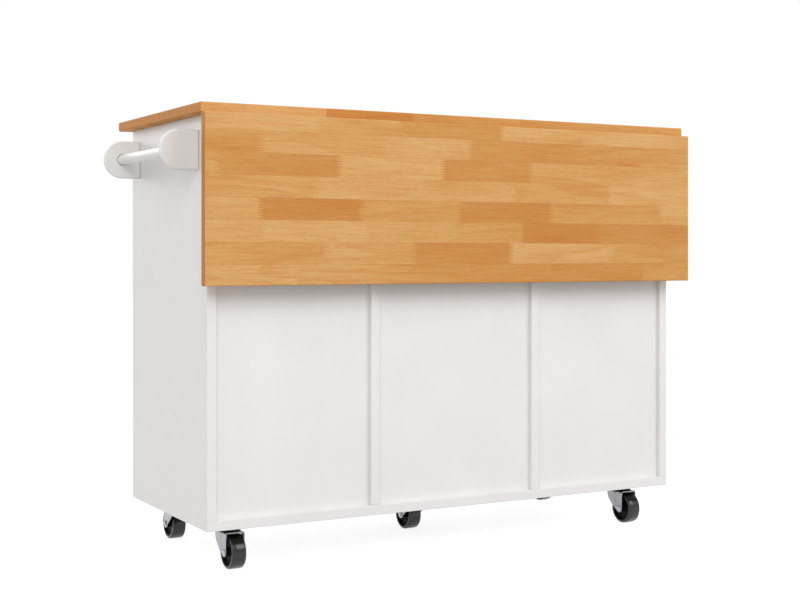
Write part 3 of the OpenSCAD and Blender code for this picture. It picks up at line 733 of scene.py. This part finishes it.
# Inside this radius the core is painted darker and duller than the tread, as the shade that falls into the sunk
# web.
SHADED_CORE_R = WHEEL_R - 6    # where the dull core ends
SHADED_CORE_BANDS = [i for i, (radius, out) in enumerate(WHEEL_PROFILE)
              if max(radius, WHEEL_PROFILE[(i + 1) % len(WHEEL_PROFILE)][0]) < SHADED_CORE_R]
print("the wheel is", round(2 * WHEEL_HALF, 1), "mm wide;", len(SHADED_CORE_BANDS), "bands make its core")

# %% [markdown]
# ### Nuts, plates and screw heads
#
# A nut is a hexagonal prism whose upper rim is cut back. A caster's plate is a square with round
# corners. A screw head is drawn as rings, from its rim to the middle, and the inner rings take the
# shape of a cross instead of a circle, so the driver's recess needs no cutting.

# %% Helpers for nuts, plates and screws
def hexagon(across_flats, high, chamfer):
    """A nut that stands at height 0."""
    radius = across_flats / math.sqrt(3)

    def ring(shrink):
        return [((radius - shrink) * math.cos(math.radians(60 * i)),
                 (radius - shrink) * math.sin(math.radians(60 * i))) for i in range(6)]

    points, faces = prism(ring(0), 0, high - chamfer)
    points += [(x, y, high) for x, y in ring(chamfer * 1.4)]
    rim = [(6 + i, 6 + (i + 1) % 6, 12 + (i + 1) % 6, 12 + i) for i in range(6)]
    return points, [faces[0], *faces[2:], *rim, tuple(range(12, 18))]


def rounded_square(side, radius, steps=6):
    """An outline in X and Y, anticlockwise."""
    half = side / 2 - radius
    return [(sx * half + radius * math.cos(a), sy * half + radius * math.sin(a))
            for sx, sy, first in ((1, 1, 0), (-1, 1, 90), (-1, -1, 180), (1, -1, 270))
            for a in [math.radians(first + 90 * i / steps) for i in range(steps + 1)]]


def screw_head(radius, height, steps=64):
    """A pan head with a cross recess; its seat is at height 0 and its top points to +Z."""
    arm, half = 0.58 * radius, 0.17 * radius

    def cross(angle):
        c, s = max(abs(math.cos(angle)), 1e-6), max(abs(math.sin(angle)), 1e-6)
        return max(min(arm / c, half / s), min(arm / s, half / c))

    angles = [math.tau * i / steps for i in range(steps)]
    rings = [[(radius, 0.0)] * steps, [(radius, 0.35 * height)] * steps,
             [(0.93 * radius, 0.72 * height)] * steps, [(0.78 * radius, 0.93 * height)] * steps,
             [(0.66 * radius, height)] * steps,
             [(cross(a), height) for a in angles], [(0.8 * cross(a), 0.3 * height) for a in angles]]
    points, faces = [], []
    for ring in rings:
        points += [(r * math.cos(a), r * math.sin(a), z) for a, (r, z) in zip(angles, ring)]
    for k in range(len(rings) - 1):
        for i in range(steps):
            j = (i + 1) % steps
            faces.append((k * steps + i, k * steps + j, (k + 1) * steps + j, (k + 1) * steps + i))
    points.append((0, 0, 0.2 * height))
    last = (len(rings) - 1) * steps
    faces += [(last + i, last + (i + 1) % steps, len(points) - 1) for i in range(steps)]
    faces.append(tuple(range(steps))[::-1])
    return points, faces


# %% [markdown]
# ### The five casters
#
# Fork, wheel and axle bolt are pieces of their own: the fork and the bolt swivel, and the wheel also
# spins. The plates, with the ball races under them, and their screws belong to the cabinet.

# %% Forks, wheels and axle bolts
BOLT_HEAD = [(0, FORK_OUT), (6.3, FORK_OUT), (6.3, FORK_OUT + 0.6), (5.6, FORK_OUT + 1.0),
             (5.2, FORK_OUT + 1.0), (4.9, FORK_OUT + 1.9), (4.3, FORK_OUT + 2.3), (2.2, FORK_OUT + 2.3),
             (1.8, FORK_OUT + 1.6), (0, FORK_OUT + 1.6)]
BOLT_SHANK = [(0, -FORK_OUT - 3.4), (2.4, -FORK_OUT - 3.4), (3, -FORK_OUT - 2.8), (3, FORK_OUT),
              (0, FORK_OUT)]
nut = moved(hexagon(9.5, 2.8, chamfer=0.5),
            Matrix.Translation((0, 0, -FORK_OUT)) @ Matrix.Rotation(math.pi, 4, "X"))
bolt = [lathe(BOLT_SHANK, steps=24), lathe(BOLT_HEAD, steps=32), nut]
for number, here in enumerate(CASTERS, start=1):
    axle = here @ Matrix.Translation((0, TRAIL, WHEEL_R)) @ Matrix.Rotation(math.pi / 2, 4, "Y")
    fork = piece(f"caster_{number}_pressed_fork", [moved(fork_shape(), here)], FORK_ZINC_PAINTED_SHADE,
                 f"caster_{number}", replaces=[f"caster_{number}_fork"])
    pressed(fork)
    wheel = piece(f"caster_{number}_turned_wheel",
                  [moved(lathe(WHEEL_PROFILE, steps=WHEEL_STEPS, closed=True), axle)],
                  NYLON, f"wheel_{number}", replaces=[f"caster_{number}_wheel"])
    # The sunk core's bands get the finish that paints shade into the recess.
    wheel.data.materials.append(WHEEL_CORE_PAINTED_SHADE)
    for polygon in wheel.data.polygons:
        polygon.material_index = int(polygon.index // WHEEL_STEPS in SHADED_CORE_BANDS)
    piece(f"caster_{number}_axle_bolt", [moved(shape, axle) for shape in bolt], ZINC,
          f"caster_{number}", soft=0.2, replaces=[f"caster_{number}_axle"])
print("made", len(CASTERS), "casters")

# %% Plates, races and their screws
PLATE_SIDE, PLATE_CORNER, PLATE_T = 64, 7, 2.5
SCREW_AT = 23
RACE_TOP = BOARD_Z - PLATE_T
RACE = [(0, CROWN_TOP - 5.1), (7.2, CROWN_TOP - 5.1), (8, CROWN_TOP - 4.4), (8, CROWN_TOP - 2.7),
        (5, CROWN_TOP - 2.6), (5, CROWN_TOP + 0.4), (20.6, CROWN_TOP + 0.4), (22.6, CROWN_TOP + 1.4),
        (23.4, CROWN_TOP + 3.4), (22.6, CROWN_TOP + 5.0), (20.8, CROWN_TOP + 5.5), (20.8, CROWN_TOP + 6.4),
        (23.0, CROWN_TOP + 6.9), (24.0, CROWN_TOP + 8.6), (23.4, RACE_TOP - 1.2), (21.6, RACE_TOP),
        (0, RACE_TOP)]
SCREW_SHANK = [(0, -13.5), (2, -12.5), (2, 0), (0, 0)]
plate_shapes, screw_shapes = [], []
for here in CASTERS:
    plate = prism(rounded_square(PLATE_SIDE, PLATE_CORNER), RACE_TOP, BOARD_Z)
    plate_shapes += [moved(plate, here), moved(lathe(RACE, steps=64), here)]
    for x in (-SCREW_AT, SCREW_AT):
        for y in (-SCREW_AT, SCREW_AT):
            seat = here @ Matrix.Translation((x, y, RACE_TOP)) @ Matrix.Rotation(math.pi, 4, "X")
            screw_shapes += [moved(screw_head(4, 2.2), seat), moved(lathe(SCREW_SHANK, steps=16), seat)]
piece("caster_plates_and_races", plate_shapes, BLACK_STEEL, "cabinet", soft=0.5,
      replaces=["caster_plates"])
piece("caster_plate_screws", screw_shapes, ZINC, "cabinet", replaces=["caster_screws"])
print("made", len(CASTERS), "plates with races, and", len(screw_shapes) // 2, "screws")

# %% [markdown]
# ## Screws
#
# Screws are what a furniture maker sees first when the leaf goes up or a drawer comes out. A row of
# them needs only the points that they sit on and the direction that their heads face. They ride on
# the body that they are driven into.

# %% Helper for rows of screws
def screw_row(name, seats, direction, body, radius=3.2, height=0.8):
    """One piece of several screw heads; height is how far they stand out of their seats."""
    heads = [moved(screw_head(radius, height), facing(seat, direction)) for seat in seats]
    return piece(name, heads, ZINC, body)


top_low, top_high = in_mm("countertop")
carcass_low, carcass_high = in_mm("bottom_board")
middle_x = (carcass_low.x + carcass_high.x) / 2
_, fold_y, fold_z = joint_at("leaf_fold")
print("the leaf folds at a height of", round(fold_z, 1), "mm")

# %% [markdown]
# ### Leaf hinges and supports
#
# Each butt hinge is screwed up into the worktop and into the leaf with three countersunk screws a
# side. The tracks and arms of the folding supports are thin channels, screwed through their bases.

# %% Screws of the leaf
HINGE_INSET, HINGE_SCREW_STEP = 150, 24
PLATE_MIDDLE = 14.5    # from the fold to the middle of a hinge's plate
HINGE_SHEET = CHANNEL_SHEET = 1.5
CHANNEL_SCREW_END, ARM_SCREW_END = 25, 18
hinge_xs = [top_low.x + HINGE_INSET, middle_x, top_high.x - HINGE_INSET]
screw_xs = [x + step for x in hinge_xs for step in (-HINGE_SCREW_STEP, 0, HINGE_SCREW_STEP)]
worktop_under = top_low.z - HINGE_SHEET
leaf_inner = in_mm("drop_leaf")[0].y - HINGE_SHEET
screw_row("leaf_hinge_screws_worktop", [(x, fold_y - PLATE_MIDDLE, worktop_under) for x in screw_xs],
          (0, 0, -1), "cabinet", height=0.4)
screw_row("leaf_hinge_screws_leaf", [(x, leaf_inner, fold_z - PLATE_MIDDLE) for x in screw_xs],
          (0, -1, 0), "leaf", height=0.4)

track_low, track_high = in_mm("support_tracks")
arms_low, arms_high = in_mm("support_arms")
support_xs = [joint_at("left_strut_swing")[0], joint_at("right_strut_swing")[0]]
track_zs = [track_low.z + CHANNEL_SCREW_END, (track_low.z + track_high.z) / 2,
            track_high.z - CHANNEL_SCREW_END]
arm_zs = [arms_low.z + CHANNEL_SCREW_END, arms_high.z - ARM_SCREW_END]
screw_row("track_screws", [(x, track_low.y + CHANNEL_SHEET, z) for x in support_xs for z in track_zs],
          (0, 1, 0), "cabinet", height=0.2)
screw_row("support_arm_screws", [(x, arms_high.y - CHANNEL_SHEET, z) for x in support_xs for z in arm_zs],
          (0, -1, 0), "leaf", height=0.3)
print("leaf:", 2 * len(screw_xs), "hinge screws,", len(support_xs) * (len(track_zs) + len(arm_zs)),
      "support screws")

# %% [markdown]
# ### Pivot pins
#
# The pins of the supports are riveted over: a low round head on each side of the arm.

# %% Rivet heads
RIVET_HEAD = [(0, 0), (3.4, 0), (3.4, 0.5), (2.6, 1.1), (1.2, 1.4), (0, 1.4)]
half_arm = (arms_high.x - arms_low.x - (support_xs[1] - support_xs[0])) / 2
pivot_heads = []
for side in ("left", "right"):
    x, y, z = joint_at(f"{side}_strut_swing")
    pivot_heads += [moved(lathe(RIVET_HEAD, steps=24), facing((x + end * half_arm, y, z), (end, 0, 0)))
                    for end in (-1, 1)]
piece("support_pivot_heads", pivot_heads, ZINC, "leaf")
print("an arm of the supports is", round(2 * half_arm, 1), "mm wide")

# %% [markdown]
# ### Door hinges
#
# A concealed hinge has a drawn steel cup in the door, held by two screws in its wings, and an arm on
# a base plate inside the cabinet. On the arm sit the two screws that shift the door sideways and
# in and out; two more hold the base.

# %% Screws of the door hinges
SIDES = (("left", -1), ("right", 1))
CUP_R, WING_HALF = 17.5, 25
WING_SCREW_IN, WING_SCREW_UP = 6, 21
BASE_T, BASE_MIDDLE, BASE_SCREW_UP = 3, 22, 12.5
ARM_OVER_BASE, ADJUSTERS_BACK = 11, (8, 24)


def cup_places(side, sign):
    """Where a door's hinge cups are: their X, the face of their wings, and their heights."""
    low, high = in_mm(f"door_{side}_hinge_cups")
    return high.x - CUP_R if sign > 0 else low.x + CUP_R, high.y, (low.z + WING_HALF, high.z - WING_HALF)


for side, sign in SIDES:
    cup_x, wing_y, cup_zs = cup_places(side, sign)
    screw_row(f"hinge_cup_screws_{side}",
              [(cup_x - sign * WING_SCREW_IN, wing_y, z + end * WING_SCREW_UP) for z in cup_zs
               for end in (-1, 1)],
              (0, 1, 0), f"{side}_door", radius=3.4, height=0.8)
hinge_low, hinge_high = in_mm("door_hinge_arms")
for side, sign in SIDES:
    base_x = middle_x + sign * ((hinge_high.x - hinge_low.x) / 2 - BASE_T)
    base_seats = [(base_x, hinge_high.y - BASE_MIDDLE, z + end * BASE_SCREW_UP) for z in cup_zs
                  for end in (-1, 1)]
    arm_seats = [(base_x - sign * ARM_OVER_BASE, hinge_high.y - back, z) for z in cup_zs
                 for back in ADJUSTERS_BACK]
    screw_row(f"hinge_base_screws_{side}", base_seats, (-sign, 0, 0), "cabinet", height=1.2)
    screw_row(f"hinge_adjusters_{side}", arm_seats, (-sign, 0, 0), "cabinet", radius=3, height=0.6)
print("each door hangs on", len(cup_zs), "hinges")

# %% [markdown]
# ### Shelf pins
#
# A turned steel pin with chamfered ends: a shank in its hole, and a short peg under the shelf.

# %% Shelf pins
pins_low, pins_high = in_mm("shelf_pins")
PIN_R, PIN_SHANK, PIN_PEG = 2.5, 8.9, 8.0
SHELF_PLAY = 1
PIN = [(0, -PIN_SHANK), (PIN_R - 0.4, -PIN_SHANK), (PIN_R, -PIN_SHANK + 0.5), (PIN_R, 0),
       (PIN_R, PIN_PEG - 0.6), (PIN_R - 0.6, PIN_PEG), (0, PIN_PEG)]
pin_z = (pins_low.z + pins_high.z) / 2
shelf_walls = []
for name in ("shelf_left", "shelf_right"):
    shelf_low, shelf_high = in_mm(name)
    shelf_walls += [(shelf_low.x - SHELF_PLAY, 1), (shelf_high.x + SHELF_PLAY, -1)]
pins = [moved(lathe(PIN, steps=24), facing((x, y, pin_z), (into, 0, 0)))
        for x, into in shelf_walls for y in (pins_low.y + PIN_R, pins_high.y - PIN_R)]
piece("turned_shelf_pins", pins, ZINC, "cabinet", replaces=["shelf_pins"])
print("made", len(pins), "shelf pins")

# %% [markdown]
# ## Doors and drawer fronts
#
# A shaker front is five boards: two stiles, two rails between them, and a thin panel that sits
# deeper. Under the lacquer the joints still show as hairlines, because each board has its own very
# slightly rounded edges. So each front is built here from its five boards. The stile on a door's
# hinge side is bored for the two hinge cups before it joins the others: a Boolean modifier wants
# closed bodies that don't touch each other, and a single board is one.

# %% Helper that bores a shape
def bored(shape, drills):
    """A shape with the drills' shapes cut out of it."""
    bodies = []
    for name, (points, faces) in (("blank", shape), ("drills", joined(drills))):
        mesh = bpy.data.meshes.new(name)
        mesh.from_pydata(points, [], faces)
        bodies.append(bpy.data.objects.new(name, mesh))
        bpy.context.collection.objects.link(bodies[-1])
    cut = bodies[0].modifiers.new("bore", "BOOLEAN")
    cut.object = bodies[1]
    cut.solver = "EXACT"
    bpy.context.view_layer.update()
    result = bodies[0].evaluated_get(bpy.context.evaluated_depsgraph_get()).data
    points = [tuple(corner.co) for corner in result.vertices]
    faces = [tuple(polygon.vertices) for polygon in result.polygons]
    for body in bodies:
        bpy.data.objects.remove(body)
    return points, faces


# %% Fronts from five boards
SUNK = 5
EDGE_SOFT = 0.7


def shaker_front(name, node, frame_w, body, hinge_side=0, drills=()):
    """Five boards in a node's place; the drills go into the stile on the hinge side (-1 or 1)."""
    low, high = in_mm(node)
    x0, x1, z0, z1 = low.x, high.x, low.z, high.z
    face, rear = low.y, high.y
    boards = [box_shape((x0, face, z0), (x0 + frame_w, rear, z1)),
              box_shape((x1 - frame_w, face, z0), (x1, rear, z1)),
              box_shape((x0 + frame_w, face, z0), (x1 - frame_w, rear, z0 + frame_w)),
              box_shape((x0 + frame_w, face, z1 - frame_w), (x1 - frame_w, rear, z1)),
              box_shape((x0 + frame_w, face + SUNK, z0 + frame_w), (x1 - frame_w, rear, z1 - frame_w))]
    if drills:
        hinge_stile = 1 if hinge_side > 0 else 0
        boards[hinge_stile] = bored(boards[hinge_stile], drills)
    return piece(name, boards, LACQUER, body, soft=EDGE_SOFT, replaces=[node])


DOOR_FRAME, DRAWER_FRAME = 60, 42
CUP_DEPTH = 11.5
CUP_DRILL = [(0, -CUP_DEPTH), (CUP_R, -CUP_DEPTH), (CUP_R, 2), (0, 2)]
for side, sign in SIDES:
    cup_x, _, cup_zs = cup_places(side, sign)
    door_rear = in_mm(f"door_{side}")[1].y
    drills = [moved(lathe(CUP_DRILL, steps=64), facing((cup_x, door_rear, z), (0, 1, 0))) for z in cup_zs]
    door = shaker_front(f"door_{side}_boards", f"door_{side}", DOOR_FRAME, f"{side}_door", sign, drills)
for number in (1, 2, 3):
    shaker_front(f"drawer_{number}_front_boards", f"drawer_{number}_front", DRAWER_FRAME, f"drawer_{number}")
print("a bored door has", len(door.data.polygons), "faces")

# %% [markdown]
# ### Handles
#
# The bars are plain round steel with a soft chamfer, and each post stands on a thin rosette that
# hides the edge of its hole.

# %% Rosettes under the handle posts
ROSETTE = [(0, 0), (7, 0), (7, 0.8), (6.4, 1.4), (4.2, 1.4), (4.2, 2.2), (0, 2.2)]
POSTS_APART = 128


def rosettes(handle, face_y, along, body):
    """Two rosettes under a handle whose posts stand apart along X or Z."""
    low, high = in_mm(handle)
    middle = Vector(((low.x + high.x) / 2, face_y, (low.z + high.z) / 2))
    posts = [middle + end * POSTS_APART / 2 * Vector(along) for end in (-1, 1)]
    shapes = [moved(lathe(ROSETTE, steps=32), facing(post, (0, -1, 0))) for post in posts]
    piece(f"{handle}_rosettes", shapes, BLACK_HANDLE, body)


for side, _ in SIDES:
    rosettes(f"door_{side}_handle", in_mm(f"door_{side}")[0].y, (0, 0, 1), f"{side}_door")
for number in (1, 2, 3):
    panel_y = in_mm(f"drawer_{number}_front")[0].y + SUNK
    rosettes(f"drawer_{number}_handle", panel_y, (1, 0, 0), f"drawer_{number}")
print("rosettes for", sum(name.endswith("_handle") for name in NODES), "handles")

# %% [markdown]
# ### Screws inside the cabinet
#
# The worktop is held from below by screws through the rails. The slides are screwed to the dividers
# and to the drawer boxes.

# %% Rail and slide screws
RAIL_W = 60
ALONG_BAY = (0.22, 0.78)
rail_low, rail_high = in_mm("top_rails")
rail_ys = (rail_low.y + RAIL_W / 2, rail_high.y - RAIL_W / 2)
bays = [in_mm(f"back_panel_{name}") for name in ("left", "middle", "right")]
rail_seats = [(low.x + (high.x - low.x) * share, y, rail_low.z) for low, high in bays
              for share in ALONG_BAY for y in rail_ys]
screw_row("worktop_screws", rail_seats, (0, 0, -1), "cabinet", radius=4.2, height=2)

SLIDE_SHEET, SLIDE_DEPTH = 1.2, 9.7
SLIDE_SCREW_END, BOX_SCREWS_BACK = 45, 12
slide_low, slide_high = in_mm("drawer_slide_rails")
slide_ys = (slide_low.y + SLIDE_SCREW_END, (slide_low.y + slide_high.y) / 2, slide_high.y - SLIDE_SCREW_END)
for number in (1, 2, 3):
    inner_low, inner_high = in_mm(f"drawer_{number}_slides")
    slide_z = (inner_low.z + inner_high.z) / 2
    for side, sign in SIDES:
        wall, box = (slide_high.x, inner_high.x) if sign > 0 else (slide_low.x, inner_low.x)
        rail_x, web_x = wall - sign * SLIDE_SHEET, box - sign * (SLIDE_DEPTH - SLIDE_SHEET)
        screw_row(f"slide_{number}_{side}_rail_screws", [(rail_x, y, slide_z) for y in slide_ys],
                  (-sign, 0, 0), "cabinet", height=1.2)
        screw_row(f"slide_{number}_{side}_box_screws",
                  [(web_x, y + BOX_SCREWS_BACK, slide_z) for y in slide_ys],
                  (sign, 0, 0), f"drawer_{number}", height=1.2)

# %% [markdown]
# ## Light and floor
#
# A studio white: a pale floor, two large soft lights on the leaf's side, weaker ones on the other
# sides, and an even sky. The two keys stand left and right of the camera, so each sunk panel has a
# soft shadow on both of its sides. What the camera, a mirror or glass sees of the sky is plain
# white; what lights the object is a little less, so that a colour comes out about as it is written.

# %% Floor and sky
HALF_FLOOR = 20.0
WHITE = (1, 1, 1, 1)
FLOOR_GREY, FLOOR_GLOW = srgb(178, 178, 178), 0.85
SKY_LIGHT = 0.8


def seen_ray(tree):
    """1 for what the camera, a mirror or glass sees, and 0 for light on its way to the object."""
    rays = add(tree, "ShaderNodeLightPath").outputs
    return calc(tree, "MAXIMUM", calc(tree, "MAXIMUM", rays["Is Camera Ray"], rays["Is Glossy Ray"]),
                rays["Is Transmission Ray"])


def floor_paper():
    """Lit paper that shows as white and still takes the island's shadow."""
    finish, tree, shader = new_finish("floor_paper", Base_Color=FLOOR_GREY, Roughness=0.9,
                                      Specular_IOR_Level=0.0, Emission_Color=WHITE)
    tree.links.new(calc(tree, "MULTIPLY", seen_ray(tree), FLOOR_GLOW), shader.inputs["Emission Strength"])
    return finish


floor_mesh = bpy.data.meshes.new("floor")
floor_mesh.from_pydata([(-HALF_FLOOR, -HALF_FLOOR, 0), (HALF_FLOOR, -HALF_FLOOR, 0),
                        (HALF_FLOOR, HALF_FLOOR, 0), (-HALF_FLOOR, HALF_FLOOR, 0)], [], [(0, 1, 2, 3)])
floor_mesh.materials.append(floor_paper())
floor = bpy.data.objects.new("floor", floor_mesh)
bpy.context.collection.objects.link(floor)

world = bpy.data.worlds.new("studio")
bpy.context.scene.world = world
world.use_nodes = True
sky_tree = world.node_tree
background = sky_tree.nodes["Background"]
background.inputs["Color"].default_value = WHITE
sky_tree.links.new(calc(sky_tree, "MULTIPLY_ADD", seen_ray(sky_tree), 1 - SKY_LIGHT, SKY_LIGHT),
                   background.inputs["Strength"])
print("the sky lights the island at", SKY_LIGHT, "of what the camera sees")


# %% Lamps
def softbox(name, place_at, aim_at, size, power):
    """A rectangle of light, with its place and size in metres and its power in watts."""
    data = bpy.data.lights.new(name, "AREA")
    data.shape = "RECTANGLE"
    data.size, data.size_y = size
    data.energy = power
    lamp = bpy.data.objects.new(name, data)
    lamp.location = place_at
    lamp.rotation_euler = (Vector(aim_at) - Vector(place_at)).to_track_quat("-Z", "Y").to_euler()
    bpy.context.collection.objects.link(lamp)


MIDDLE = (0, 0, 0.5)
softbox("key_right", (-2.0, 3.7, 2.9), MIDDLE, (2.6, 2.2), 55)
softbox("key_left", (2.5, 3.5, 2.7), MIDDLE, (2.6, 2.2), 53)
softbox("front", (0.8, -4.2, 2.2), MIDDLE, (3.0, 2.0), 60)
softbox("far_side", (-4.2, -0.6, 2.0), MIDDLE, (2.5, 2.0), 40)
print(sum(lamp.energy for lamp in bpy.data.lights), "W of lamps in all")

bpy.context.scene.view_settings.view_transform = "Standard"
